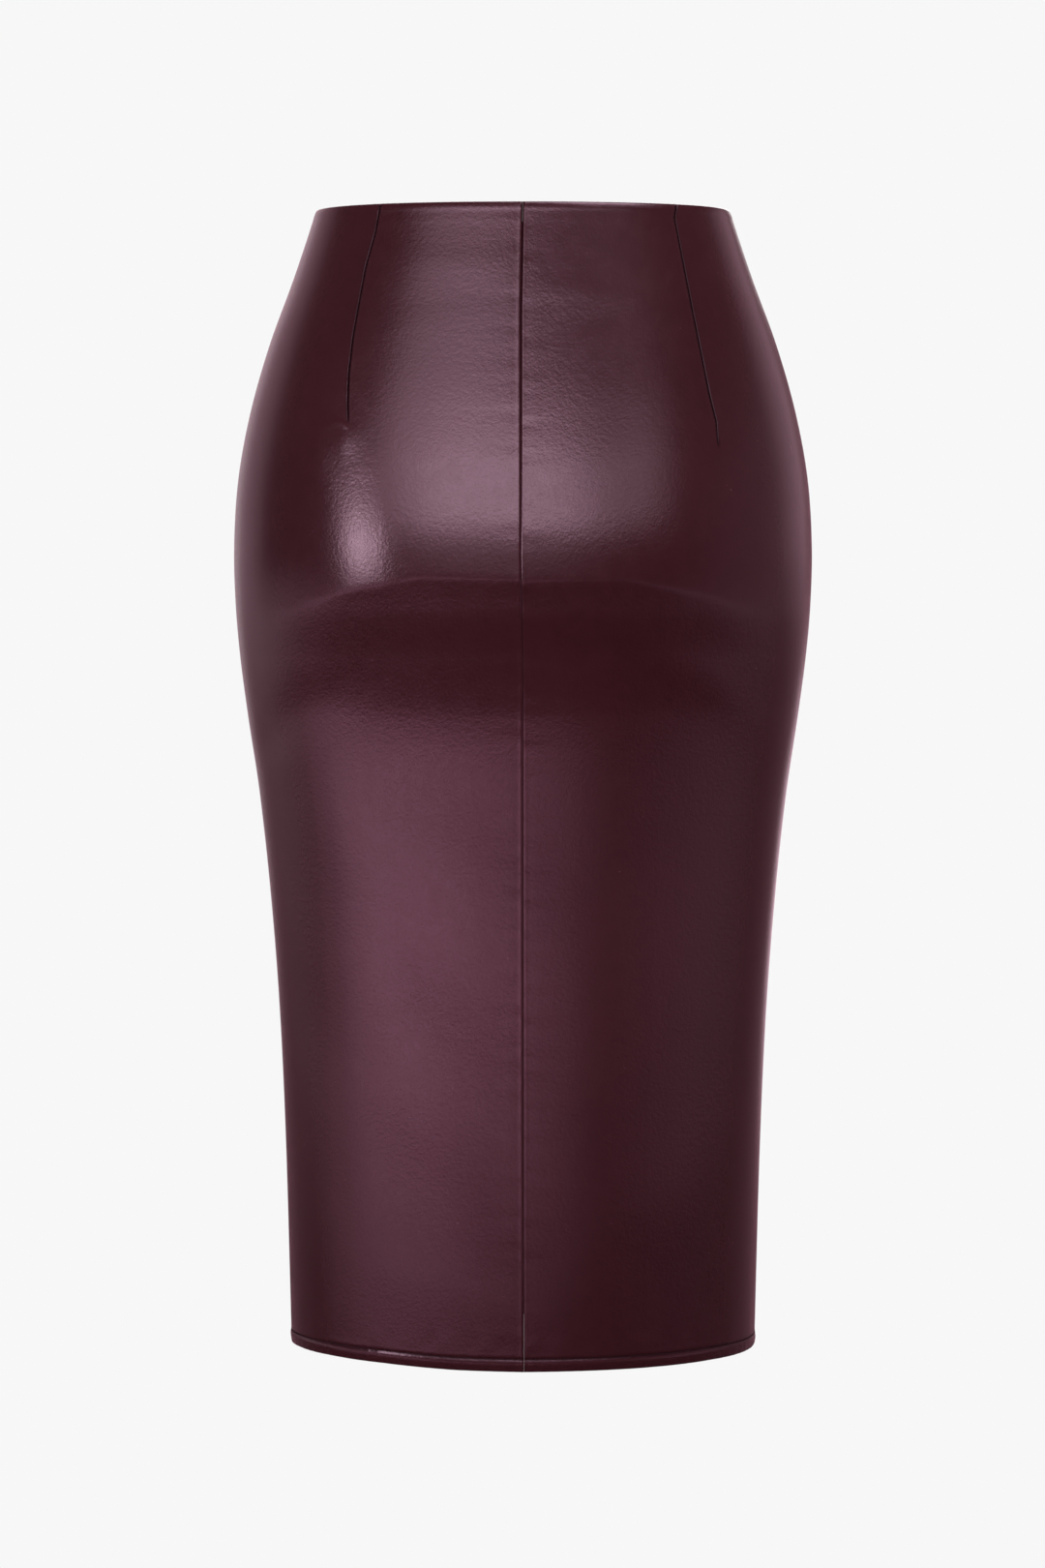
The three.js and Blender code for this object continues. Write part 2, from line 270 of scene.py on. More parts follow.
# How far the cloth turns away outside a dart, and over what stretch it comes back
dartBends = {
    "backLeft": {"drop": 0.00110, "near": 0.010, "far": 0.034, "tip": -0.110},
    "backRight": {"drop": 0.00040, "near": 0.010, "far": 0.030, "tip": -0.120},
    "front": {"drop": 0.00050, "near": 0.010, "far": 0.030, "tip": -0.080},
    "frontFar": {"drop": 0.00050, "near": 0.010, "far": 0.030, "tip": -0.080},
}

# Soft creases: height and signed walk from centre back, reach along and across,
# height of the ridge (or depth, below zero), and the turn from level in degrees
creases = [
    (-0.385, 0.055, 0.100, 0.042, 0.0012, 30),
    (-0.520, 0.075, 0.090, 0.030, -0.0007, 38),
    (-0.630, 0.030, 0.080, 0.028, 0.0005, 12),
    (-0.600, -0.060, 0.090, 0.034, 0.0006, -35),
    (-0.1290, 0.1075, 0.0036, 0.0012, 0.00050, 38),
    (-0.1290, 0.1145, 0.0036, 0.0012, 0.00045, -38),
    (-0.142, 0.126, 0.026, 0.0085, 0.00045, 74),
    (-0.157, -0.130, 0.026, 0.009, 0.00035, -76),
    (-0.052, -0.040, 0.045, 0.007, 0.00016, 4),
    (-0.070, -0.052, 0.038, 0.008, -0.00014, -6),
    (-0.036, 0.038, 0.050, 0.008, 0.00014, 3),
    (-0.058, 0.060, 0.040, 0.009, -0.00012, -5),
    (-0.275, -0.105, 0.060, 0.014, 0.00045, 30),
    (-0.300, 0.145, 0.060, 0.016, -0.0005, -28),
    (-0.430, 0.088, 0.110, 0.022, 0.0006, 72),
    (-0.520, 0.120, 0.120, 0.022, -0.0007, 82),
    (-0.560, 0.045, 0.100, 0.020, 0.00045, 86),
    (-0.540, -0.090, 0.130, 0.026, 0.0006, -83),
    (-0.400, -0.150, 0.100, 0.022, -0.0005, -76),
    (-0.030, 0.330, 0.040, 0.008, 0.0003, -4),
    (-0.048, 0.430, 0.050, 0.008, -0.0003, 5),
    (-0.034, 0.475, 0.036, 0.007, 0.0003, 3),
    (-0.228, 0.330, 0.060, 0.012, -0.0008, 12),
    (-0.246, 0.360, 0.060, 0.011, 0.0007, 8),
    (-0.236, 0.480, 0.055, 0.012, -0.0008, -10),
    (-0.256, 0.455, 0.050, 0.010, 0.0006, -7),
    (-0.480, 0.340, 0.130, 0.026, 0.0008, 80),
    (-0.530, 0.470, 0.120, 0.024, -0.0008, -82),
    (-0.580, 0.400, 0.090, 0.022, 0.0006, 88),
]

# The seat turns under quickly: the height where it does, by the signed walk from centre back
seatForm = {
    "line": [(-0.150, -0.238), (-0.108, -0.2285), (-0.060, -0.2185), (0, -0.2190), (0.060, -0.2170),
             (0.108, -0.2265), (0.150, -0.238)],
    "high": 0.0025,
    "above": 0.040,
    "below": 0.018,
    "soft": 0.0015,
    "reach": 0.135,
}


def seatRelief(z, walked):
    line = np.interp(walked, *zip(*seatForm["line"]))
    fade = np.where(z > line, seatForm["above"], seatForm["below"])
    away = np.hypot(z - line, seatForm["soft"]) - seatForm["soft"]
    return seatForm["high"] * np.exp(-((walked / seatForm["reach"]) ** 6)) * np.exp(-away / fade)


# How much higher the hem hangs, by the signed walk from centre back
hemRise = [
    (-0.200, 0), (-0.120, 0.0006), (0, -0.0003), (0.040, 0.0004), (0.085, 0.0022), (0.125, 0.0029),
    (0.160, 0.0027), (0.190, 0.0014), (0.225, 0),
]


def dartRelief(name, z, walked, shift):
    tip = dartTip(name)
    aside = walked - dartWalk(name, z)
    away = np.abs(aside)
    held = share((z - tip) / dartForm["heldFade"]) ** 0.5
    off = -dartForm["depth"] * held * bump(away, dartForm["width"])
    off += dartForm["lip"] * held * bump(away - dartForm["lipAt"], dartForm["lipWidth"])
    ripple = wave(z, dartForm["puckerWave"], shift)
    off += dartForm["pucker"] * held * ripple * np.exp(-away / dartForm["puckerReach"])
    dimple = bump(z - tip + dartForm["dimpleBelow"], dartForm["dimpleWidth"])
    off += dartForm["dimple"] * dimple * bump(away, dartForm["dimpleWidth"])
    bend = dartBends[name]
    outward = np.clip(aside * (-1 if name in ("backRight", "front") else 1), 0, None)
    fade = share((z - bend["tip"]) / dartForm["bendFade"])
    turned = (1 - np.exp(-outward / bend["near"])) * np.exp(-((outward / bend["far"]) ** 2))
    return off - bend["drop"] * fade * turned


def reliefAt(z, walked, panel):
    walked = np.asarray(walked, dtype=float)
    off = np.zeros_like(walked)
    for number, name in enumerate(panel["seams"]):
        away = np.abs(walked - seamWalk(name, z))
        least = seamForm["leastSunk"]
        sunk = seamForm["depth"] * (least + (1 - least) * math.exp(-((z / seamForm["deepReach"]) ** 2)))
        off -= sunk * bump(away, seamForm["width"])
        off += panel["lips"][number] * bump(away - seamForm["lipAt"], seamForm["lipWidth"])
        past = (away - seamForm["allowance"]) / seamForm["allowanceEdge"]
        off += seamForm["allowanceShows"] / (1 + np.exp(past))
        ripple = wave(z, seamForm["puckerWave"], number + panel["shift"])
        off += seamForm["pucker"] * ripple * np.exp(-away / seamForm["puckerReach"])
    for number, name in enumerate(panel["darts"]):
        off += dartRelief(name, z, walked, 2.0 * number + panel["shift"])
    for creaseZ, creaseWalk, reach, width, high, degrees in creases:
        asideWalk = walked - creaseWalk
        asideZ = z - creaseZ
        turn = math.radians(degrees)
        along = asideWalk * math.cos(turn) + asideZ * math.sin(turn)
        across = -asideWalk * math.sin(turn) + asideZ * math.cos(turn)
        off += high * bump(along, reach) * bump(across, width)
    off += seatRelief(z, walked)
    up = z + skirt["length"]
    off -= hemForm["grooveDepth"] * bump(up - hemForm["stitchUp"], hemForm["grooveWidth"])
    nearHem = math.exp(-((up / hemForm["puckerUp"]) ** 4))
    off += hemForm["pucker"] * nearHem * wave(walked, hemForm["puckerWave"], 0.7)
    off += hemForm["roll"] * bump(up - hemForm["rollUp"], hemForm["rollWidth"])
    dragged = bump(up - hemForm["dragUp"], hemForm["dragWidth"])
    off += hemForm["drag"] * dragged * wave(walked, hemForm["dragWave"], 1.9)
    off += waistForm["roll"] * bump(-z - waistForm["rollDown"], waistForm["rollWidth"])
    off += waistForm["turnShows"] / (1 + math.exp((-z - skirt["turn"]) / waistForm["turnEdge"]))
    return off


def clothPlaces(z, walked, panel, out=0.0, relief=1.0):
    # points of the worn cloth, with the hem's rise
    walked = np.asarray(walked, dtype=float)
    points = outlineAt(z).places(walked, reliefAt(z, walked, panel) * relief + out)
    rise = np.interp(walked, *zip(*hemRise))
    points[:, 2] += rise * math.exp(-(((z + skirt["length"]) / hemForm["riseFade"]) ** 2))
    return points


# The panels, each by the seams that it runs between on the walk round from centre back
panels = {
    "clothBackLeft": {
        "node": "back_left",
        "seams": ("back", "left"),
        "lips": (0.00022, 0.00010),
        "darts": ["backLeft"],
        "shift": 0.4,
        "flat": (0.275, 0.716),
        "cutArea": 0.1755,
    },
    "clothBackRight": {
        "node": "back_right",
        "seams": ("right", "back"),
        "lips": (0.00010, 0.00006),
        "darts": ["backRight"],
        "shift": 1.7,
        "flat": (0.275, 0.716),
        "cutArea": 0.1755,
    },
    "clothFront": {
        "node": "front",
        "seams": ("left", "rightFront"),
        "lips": (0.00010, 0.00010),
        "darts": ["front", "frontFar"],
        "shift": 3.1,
        "flat": (0.430, 0.712),
        "cutArea": 0.278,
    },
}
meshing = {
    "plainColumn": 0.0046,
    "plainRow": 0.0023,
    "closeRow": 0.0012,
    "closeBands": [(-0.121, -0.146), (-0.213, -0.229)],  # by the darts' tips and where the seat turns
    "lipColumns": [0, 0.0003, 0.0006, 0.0009, 0.0013, 0.0018, 0.0024, 0.0032, 0.0045, 0.0065, 0.0088,
                   0.0112],
    "dartColumns": [0, 0.00016, 0.00032, 0.0005, 0.0008, 0.0012, 0.0018, 0.0028, 0.0046],
    "dartSpread": 0.05,  # a dart's columns draw apart over this height, from a little below its tip
    "dartSpreadBelow": 0.012,
    "dartSpreadMost": 5,
    "countAt": -0.2,  # the plain columns are counted here, near the widest height
    "foldSteps": 6,
}

# The zip, closed, behind the wearer's left side seam
zipForm = {
    "notch": 0.0017,
    "notchFade": 0.0026,
    "top": -0.0136,
    "end": -0.2000,
    "behind": 0.00155,
    "tape": 0.0006,
    "tapeHalf": 0.0119,
    "toothPitch": 0.0013,
    "toothRadius": 0.00042,
    # one tooth, by how far across and how far in from the tape
    "tooth": [(0.00150, 0.0001), (0.00158, 0.0009), (0.00105, 0.00140), (0.00020, 0.00145),
              (-0.00045, 0.00115), (-0.00055, 0.0006), (0.0, 0.0003)],
    "toothSwell": [0.9, 1, 1, 1, 1, 1, 0.8],
    "toothFromTop": 0.0006,
    "toothFromEnd": 0.004,
    "sewnAt": 0.0056,
    "threadOff": 0.00002,
}


def rowHeights():
    # close rows where the cloth folds over, is stitched or ends in a dart, even ones between
    length = skirt["length"]
    top = [0.0018, 0.0026, 0.0034, 0.0044, 0.0056, 0.007, 0.0086, 0.0102, 0.0114, 0.0120, 0.0126,
           0.0138, 0.0152]
    hem = [0.0018, 0.0027, 0.0036, 0.0046, 0.0056, 0.0065, 0.0071, 0.0076, 0.0081, 0.0087, 0.0096,
           0.0106, 0.0115, 0.0121, 0.0127, 0.0140, 0.0158, 0.0178]
    rows = [-skirt["foldRadius"]] + [-down for down in top]
    z = rows[-1]
    end = hem[-1] - length
    while z > end + 1.4 * meshing["plainRow"]:
        close = any(low < z < high for high, low in meshing["closeBands"])
        z -= meshing["closeRow"] if close else meshing["plainRow"]
        rows.append(round(z, 7))
    return rows + [up - length for up in reversed(hem)] + [skirt["foldRadius"] - length]


def wallRing(rows):
    # (height, inset, turned) round the wall: outside down, round the hem, inside up, round the waist
    fold = skirt["foldRadius"]
    length = skirt["length"]
    cloth = skirt["cloth"]
    steps = meshing["foldSteps"]
    turns = [math.pi * i / steps for i in range(1, steps)]
    outside = [(z, 0.0, True) for z in rows]
    hem = [(-length + fold - fold * math.sin(t), fold - fold * math.cos(t), True) for t in turns]
    waist = [(-fold + fold * math.sin(t), fold + fold * math.cos(t), True) for t in turns]
    inside = []
    for z in reversed(rows):
        turned = min(-z, z + length) < skirt["turn"]
        inside.append((z, 2 * fold if turned else cloth, turned))
    return outside, hem, inside, waist


def halfGap(seam, z):
    # the left seam is open at the top, where the zip's slider stands in it
    closed = skirt["seamGap"] / 2
    if seam != "left":
        return closed
    opened = share((z - zipForm["top"]) / zipForm["notchFade"])
    return closed + (zipForm["notch"] - closed) * opened


def columnStops(z, panel):
    # walks of the columns at one height: close by the seams and darts, even between them
    first, last = panel["seams"]
    start = seamWalk(first, z) + halfGap(first, z)
    end = seamWalk(last, z) - halfGap(last, z)
    stops = [start + away for away in meshing["lipColumns"]]
    for name, count in zip(panel["darts"], panel["counts"]):
        middle = dartWalk(name, z)
        down = dartTip(name) - meshing["dartSpreadBelow"] - z
        spread = 1 + meshing["dartSpreadMost"] * share(down / meshing["dartSpread"])
        sides = [middle - away * spread for away in reversed(meshing["dartColumns"])]
        stops += list(np.linspace(stops[-1], sides[0], count + 2)[1:-1])
        stops += sides + [middle + away * spread for away in meshing["dartColumns"][1:]]
    lips = [end - away for away in reversed(meshing["lipColumns"])]
    stops += list(np.linspace(stops[-1], lips[0], panel["counts"][-1] + 2)[1:-1])
    return np.array(stops + lips)


def countColumns(panel):
    # how many plain columns each stretch needs
    z = meshing["countAt"]
    first, last = panel["seams"]
    marks = [seamWalk(first, z)] + [dartWalk(name, z) for name in panel["darts"]] + [seamWalk(last, z)]
    panel["counts"] = [round((b - a) / meshing["plainColumn"]) for a, b in zip(marks, marks[1:])]


def addObject(name, data):
    made = bpy.data.objects.new(name, data)
    bpy.context.scene.collection.objects.link(made)
    return made


def newObject(name, verts, faces, material, smooth=True):
    data = bpy.data.meshes.new(name)
    data.from_pydata([tuple(v) for v in verts], [], faces)
    made = addObject(name, data)
    data.materials.append(material)
    if smooth:
        data.shade_smooth()
    bm = bmesh.new()
    bm.from_mesh(data)
    bmesh.ops.recalc_face_normals(bm, faces=bm.faces)
    bm.to_mesh(data)
    bm.free()
    return made


def paintPoints(made, name, values):
    mask = made.data.attributes.new(name, "FLOAT", "POINT")
    mask.data.foreach_set("value", np.asarray(values, dtype=np.float32).reshape(-1))


# Painted shade: how dark the bottoms of the seams, darts and hem stitching are painted, and how wide the
# painted dark is
creaseShadeForm = {
    "seam": 0.20,
    "seamAtWaist": 0.50,
    "seamReach": 0.14,
    "seamWidth": 0.0006,
    "dartFade": 0.004,
    "dartWidth": 0.0008,
    "hem": 0.55,
    "hemWidth": 0.0007,
}


def creaseShade(z, walked, panel):
    # painted shade: one in the bottom of a dart, less in a seam's and along the hem stitching, nought away
    # from them
    shade = np.zeros_like(walked)
    for name in panel["seams"]:
        strong = creaseShadeForm["seamAtWaist"] * math.exp(-((z / creaseShadeForm["seamReach"]) ** 2))
        inSeam = bump(walked - seamWalk(name, z), creaseShadeForm["seamWidth"])
        shade = np.maximum(shade, (creaseShadeForm["seam"] + strong) * inSeam)
    for name in panel["darts"]:
        held = share((z - dartTip(name)) / creaseShadeForm["dartFade"] + 0.5)
        shade = np.maximum(shade, held * bump(walked - dartWalk(name, z), creaseShadeForm["dartWidth"]))
    up = z + skirt["length"]
    return np.maximum(shade, creaseShadeForm["hem"] * bump(up - hemForm["stitchUp"], creaseShadeForm["hemWidth"]))


def makePanel(name, panel, material):
    countColumns(panel)
    rows = rowHeights()
    outside, hem, inside, waist = wallRing(rows)
    grid = []
    backing = []
    shade = []
    for number, (z, inset, turned) in enumerate(outside + hem + inside + waist):
        walked = columnStops(z, panel)
        isInside = number >= len(outside) + len(hem) // 2
        grid.append(clothPlaces(z, walked, panel, -inset, skirt["innerRelief"] if isInside else 1.0))
        backing.append(np.full(len(walked), 0.0 if turned else 1.0))
        shade.append(creaseShade(z, walked, panel) * (0.0 if isInside else 1.0))
    rings = len(grid)
    columns = len(grid[0])
    faces = []
    for r in range(rings):
        below = (r + 1) % rings
        for c in range(columns - 1):
            here = r * columns + c
            under = below * columns + c
            faces.append((here, under, under + 1, here + 1))
    for c in (0, columns - 1):
        for r in range(len(rows) - 1):
            far = len(outside) + len(hem) + len(inside) - 1 - r
            faces.append(tuple(ring * columns + c for ring in (r, far, far - 1, r + 1)))
        for first, count in ((len(outside) - 1, len(hem) + 2), (rings - len(waist) - 1, len(waist) + 2)):
            faces.append(tuple(((first + i) % rings) * columns + c for i in range(count)))
    made = newObject(name, np.array(grid).reshape(-1, 3), faces, material)
    paintPoints(made, "backing", backing)
    paintPoints(made, "creaseShade", shade)
    return made


def addShell(verts, faces, outer, inner):
    # a thin closed shell between two grids of points of one size
    rows, columns = outer.shape[:2]
    base = len(verts)
    count = rows * columns
    verts.extend(outer.reshape(-1, 3))
    verts.extend(inner.reshape(-1, 3))
    for r in range(rows - 1):
        for c in range(columns - 1):
            quad = [base + r * columns + c, base + (r + 1) * columns + c]
            quad += [quad[1] + 1, quad[0] + 1]
            faces.append(tuple(quad))
            faces.append(tuple(count + i for i in reversed(quad)))
    edge = [base + c for c in range(columns)]
    edge += [base + r * columns + columns - 1 for r in range(1, rows)]
    edge += [base + (rows - 1) * columns + c for c in range(columns - 2, -1, -1)]
    edge += [base + r * columns for r in range(rows - 2, 0, -1)]
    for a, b in zip(edge, edge[1:] + edge[:1]):
        faces.append((a, b, b + count, a + count))


print("forms ready")


class Wire:
    # one node output; sums on it add Math nodes to its tree
    def __init__(self, tree, socket=None):
        self.tree = tree
        self.socket = socket

    def node(self, kind, settings=None, inputs=None, output=0):
        made = self.tree.nodes.new(kind)
        for name, value in (settings or {}).items():
            if name == "stops":
                fillRamp(made.color_ramp, value)
            else:
                setattr(made, name, value)
        plug(made, inputs or {})
        return Wire(self.tree, made.outputs[output])

    def math(self, operation, a, b):
        return self.node("ShaderNodeMath", {"operation": operation}, {0: a, 1: b})

    def __add__(self, other):
        return self.math("ADD", self, other)

    def __sub__(self, other):
        return self.math("SUBTRACT", self, other)

    def __rsub__(self, other):
        return self.math("SUBTRACT", other, self)

    def __mul__(self, other):
        return self.math("MULTIPLY", self, other)

    __radd__ = __add__
    __rmul__ = __mul__


def fillRamp(ramp, stops):
    while len(ramp.elements) < len(stops):
        ramp.elements.new(0.5)
    for element, (place, level) in zip(ramp.elements, stops):
        element.position = place
        element.color = (level, level, level, 1)


def plug(node, inputs):
    for name, value in inputs.items():
        if isinstance(value, Wire):
            node.id_data.links.new(value.socket, node.inputs[name])
        else:
            node.inputs[name].default_value = value


def mixColours(factor, a, b):
    return factor.node("ShaderNodeMix", {"data_type": "RGBA"}, {0: factor, 6: a, 7: b}, 2)


def noise(place, scale, detail=2.0):
    return place.node("ShaderNodeTexNoise", None, {"Vector": place, "Scale": scale, "Detail": detail})


def raised(height, distance, strength=1.0):
    return height.node(
        "ShaderNodeBump", None, {"Strength": strength, "Distance": distance, "Height": height}
    )


def startMaterial(name):
    material = bpy.data.materials.new(name)
    material.use_nodes = True
    wire = Wire(material.node_tree)
    place = wire.node("ShaderNodeTexCoord", output=3)
    return material, place, material.node_tree.nodes["Principled BSDF"]


leather = {
    "dark": (0.030, 0.0046, 0.0068, 1),
    "light": (0.040, 0.0066, 0.0096, 1),
    "backing": (0.070, 0.024, 0.032, 1),
    "backingDark": (0.040, 0.012, 0.017, 1),
    # painted shade: the colour painted into the bottoms of seams, darts and hem stitching
    "paintedCreaseShade": (0.010, 0.0015, 0.002, 1),
    "roughness": 0.235,
    "cloudRoughness": 0.08,
    "grainRoughness": 0.05,
    "meanUneven": 0.06,  # what the two above add on average
    "backingRoughness": 0.55,
    "glossTint": (1.0, 0.60, 0.80, 1),
    "glossLevel": 0.60,
    "coatWeight": 0.08,
    "coatRoughness": 0.17,
    "sheen": 0.28,
    "sheenRoughness": 0.40,
    "sheenTint": (1.0, 0.36, 0.52, 1),
    "grainScale": 700,
    "fineScale": 1680,
    "poreScale": 380,
    "weaveScale": 900,
    "broadScale": 9,
    "cloudScale": 120,
    "fine": 0.45,
    "pores": 2.4,
    "weave": 2.0,
    "grainHeight": 0.000036,
    # painted shade in the creases: how far the base colour goes to its painted dark, and how much of a dark
    # matt shader is mixed in
    "creaseShadeDark": 0.8,
    "creaseShadeMix": 0.9,
}


def makeLeather():
    material, place, shader = startMaterial("burgundyLeather")
    backing = place.node("ShaderNodeAttribute", {"attribute_name": "backing"}, output=2)
    crease = place.node("ShaderNodeAttribute", {"attribute_name": "creaseShade"}, output=2)
    cells = place.node(
        "ShaderNodeTexVoronoi",
        {"feature": "SMOOTH_F1"},
        {"Vector": place, "Scale": leather["grainScale"], "Smoothness": 0.5},
    )
    cloudy = noise(place, leather["cloudScale"], 4.0)
    patches = noise(place, leather["broadScale"], 3.0) * 0.7 + cloudy * 0.3
    tone = place.node("ShaderNodeValToRGB", {"stops": [(0.3, 0.0), (0.7, 1.0)]}, {0: patches})
    worn = mixColours(tone, leather["dark"], leather["light"])
    # painted shade: the base colour darkens in the bottoms of seams, darts and hem stitching
    colour = mixColours(crease * leather["creaseShadeDark"], worn, leather["paintedCreaseShade"])
    weave = noise(place, leather["weaveScale"], 1.0)
    cloth = mixColours(weave, leather["backingDark"], leather["backing"])
    fine = noise(place, leather["fineScale"]) * leather["fine"]
    pores = noise(place, leather["poreScale"]) * leather["pores"]
    surface = (cells + fine + pores) * (1 - backing) + weave * backing * leather["weave"]
    uneven = cloudy * leather["cloudRoughness"] + cells * leather["grainRoughness"]
    polish = uneven + (leather["roughness"] - leather["meanUneven"])
    plug(shader, {
        "Base Color": mixColours(backing, colour, cloth),
        "Roughness": polish + backing * leather["backingRoughness"],
        "Coat Weight": (1 - backing) * (1 - crease) * leather["coatWeight"],
        "Coat Roughness": leather["coatRoughness"],
        "Specular Tint": leather["glossTint"],
        "Specular IOR Level": leather["glossLevel"],
        "Sheen Weight": leather["sheen"],
        "Sheen Roughness": leather["sheenRoughness"],
        "Sheen Tint": leather["sheenTint"],
        "Normal": raised(surface, leather["grainHeight"]),
    })
    # painted shade: a dark matt shader is mixed into the bottoms of seams, darts and hem stitching, where
    # little light comes back out
    deep = place.node(
        "ShaderNodeBsdfPrincipled",
        None,
        {"Base Color": leather["paintedCreaseShade"], "Roughness": 1.0, "Specular IOR Level": 0.0},
    )
    gloss = Wire(place.tree, shader.outputs[0])
    lit = place.node("ShaderNodeMixShader", None, {0: crease * leather["creaseShadeMix"], 1: gloss, 2: deep})
    plug(place.tree.nodes["Material Output"], {"Surface": lit})
    return material


thread = {
    "dark": (0.012, 0.0026, 0.004, 1),
    "light": (0.036, 0.011, 0.016, 1),
    "twist": 1400,
    "roughness": 0.5,
    "glossLevel": 0.15,
}


def makeThread():
    material, place, shader = startMaterial("burgundyThread")
    twist = place.node(
        "ShaderNodeTexWave", {"bands_direction": "DIAGONAL"}, {"Vector": place, "Scale": thread["twist"]}, 1
    )
    plug(shader, {
        "Base Color": mixColours(twist, thread["dark"], thread["light"]),
        "Roughness": twist * 0.1 + thread["roughness"],
        "Specular IOR Level": thread["glossLevel"],
        "Normal": raised(twist, 0.00008, 0.6),
    })
    return material


tape = {"dark": (0.020, 0.006, 0.009, 1), "light": (0.052, 0.018, 0.025, 1), "ribs": 420, "roughness": 0.8}


def makeTapeWeave():
    material, place, shader = startMaterial("zipTapeWeave")
    ribs = place.node(
        "ShaderNodeTexWave",
        {"bands_direction": "Z"},
        {"Vector": place, "Scale": tape["ribs"], "Distortion": 0.4},
        1,
    )
    fuzz = noise(place, 1500)
    plug(shader, {
        "Base Color": mixColours(ribs * 0.6 + fuzz * 0.4, tape["dark"], tape["light"]),
        "Roughness": fuzz * 0.1 + (tape["roughness"] - 0.05),
        "Normal": raised(ribs, 0.0001, 0.5),
    })
    return material


coil = {
    "dark": (0.040, 0.012, 0.017, 1),
    "light": (0.085, 0.030, 0.040, 1),
    "metallic": 0.0,
    "roughness": 0.42,
    "uneven": 0.10,
    "scale": 700,
    "detail": 2.0,
    "relief": 0.00005,
}
lacquer = {
    "dark": (0.045, 0.010, 0.015, 1),
    "light": (0.080, 0.022, 0.031, 1),
    "metallic": 0.35,
    "roughness": 0.28,
    "uneven": 0.16,
    "scale": 900,
    "detail": 3.0,
    "relief": 0.00004,
}


def makeZipFinish(name, look):
    # the coil's nylon and the slider's lacquer: two near tones, slightly uneven
    material, place, shader = startMaterial(name)
    wear = noise(place, look["scale"], look["detail"])
    plug(shader, {
        "Base Color": mixColours(wear, look["dark"], look["light"]),
        "Metallic": look["metallic"],
        "Roughness": wear * look["uneven"] + (look["roughness"] - look["uneven"] / 2),
        "Normal": raised(wear, look["relief"], 0.2),
    })
    return material


materials = {
    "leather": makeLeather(),
    "thread": makeThread(),
    "tape": makeTapeWeave(),
    "coil": makeZipFinish("zipCoilNylon", coil),
    "metal": makeZipFinish("zipLacquer", lacquer),
}
print("materials ready")

pieces = {}
for name, panel in panels.items():
    pieces[name] = makePanel(name, panel, materials["leather"])
    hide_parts(panel["node"])
    print(name, "made with", len(pieces[name].data.polygons), "faces")


# Sewing thread: each stitch is a short arch from hole to hole, its ends sunk in the cloth
stitches = {
    "hem": {"length": 0.0017, "pitch": 0.0021, "radius": 0.00019, "slant": 0.40},
    "dart": {"length": 0.0013, "pitch": 0.0023, "radius": 0.00014, "sunk": -0.00035},
    "zip": {"length": 0.0020, "pitch": 0.0025, "radius": 0.00016},
    "sides": 6,
    "rings": 5,
    "arch": 1.1,  # in thread radii, as is how deep the ends are sunk
    "endsDown": 0.35,
    "endsThin": 0.55,  # share of the radius at the ends
    "fromSeam": 0.0016,
}


def addTube(verts, faces, path, radii, out):
    # a closed round tube through a few points
    sides = stitches["sides"]
    base = len(verts)
    for i, middle in enumerate(path):
        along = path[min(i + 1, len(path) - 1)] - path[max(i - 1, 0)]
        across = np.cross(out, along)
        across /= np.linalg.norm(across)
        up = np.cross(along, across)
        up /= np.linalg.norm(up)
        for k in range(sides):
            turn = 2 * math.pi * k / sides
            verts.append(middle + (across * math.cos(turn) + up * math.sin(turn)) * radii[i])
    for i in range(len(path) - 1):
        for k in range(sides):
            a = base + i * sides + k
            b = base + i * sides + (k + 1) % sides
            faces.append((a, b, b + sides, a + sides))
    faces.append(tuple(base + k for k in reversed(range(sides))))
    faces.append(tuple(base + (len(path) - 1) * sides + k for k in range(sides)))


def addStitch(verts, faces, start, end, out, kind):
    radius = stitches[kind]["radius"]
    rings = stitches["rings"]
    thin = stitches["endsThin"]
    path = []
    radii = []
    for i in range(rings):
        swell = math.sin(math.pi * i / (rings - 1))
        lift = stitches["arch"] * swell - stitches["endsDown"]
        path.append(start + (end - start) * i / (rings - 1) + out * radius * lift)
        radii.append(radius * (thin + (1 - thin) * swell))
    addTube(verts, faces, path, radii, out)


def outwardAt(z, walked):
    # square to the cloth
    here = outlineAt(z).places([walked])[0]
    level = outlineAt(z).places([walked], 0.001)[0] - here
    down = outlineAt(z - 0.002).places([walked])[0] - here
    out = level - down * np.dot(level, down) / np.dot(down, down)
    return out / np.linalg.norm(out)


def makeHemStitches():
    verts = []
    faces = []
    form = stitches["hem"]
    z = hemForm["stitchUp"] - skirt["length"]
    reach = form["length"] / 2
    rise = form["slant"] * reach
    within = -(2 * skirt["foldRadius"] + 0.00005)
    for panel in panels.values():
        start = seamWalk(panel["seams"][0], z) + stitches["fromSeam"]
        end = seamWalk(panel["seams"][1], z) - stitches["fromSeam"]
        count = round((end - start) / form["pitch"])
        for i in range(count):
            walk = start + (end - start) * (i + 0.5) / count
            out = outwardAt(z, walk)
            a = clothPlaces(z - rise, [walk - reach], panel)[0]
            b = clothPlaces(z + rise, [walk + reach], panel)[0]
            addStitch(verts, faces, a, b, out, "hem")
            a = clothPlaces(z, [walk - reach], panel, within, skirt["innerRelief"])[0]
            b = clothPlaces(z, [walk + reach], panel, within, skirt["innerRelief"])[0]
            addStitch(verts, faces, a, b, -out, "hem")
    return newObject("hemStitches", verts, faces, materials["thread"])


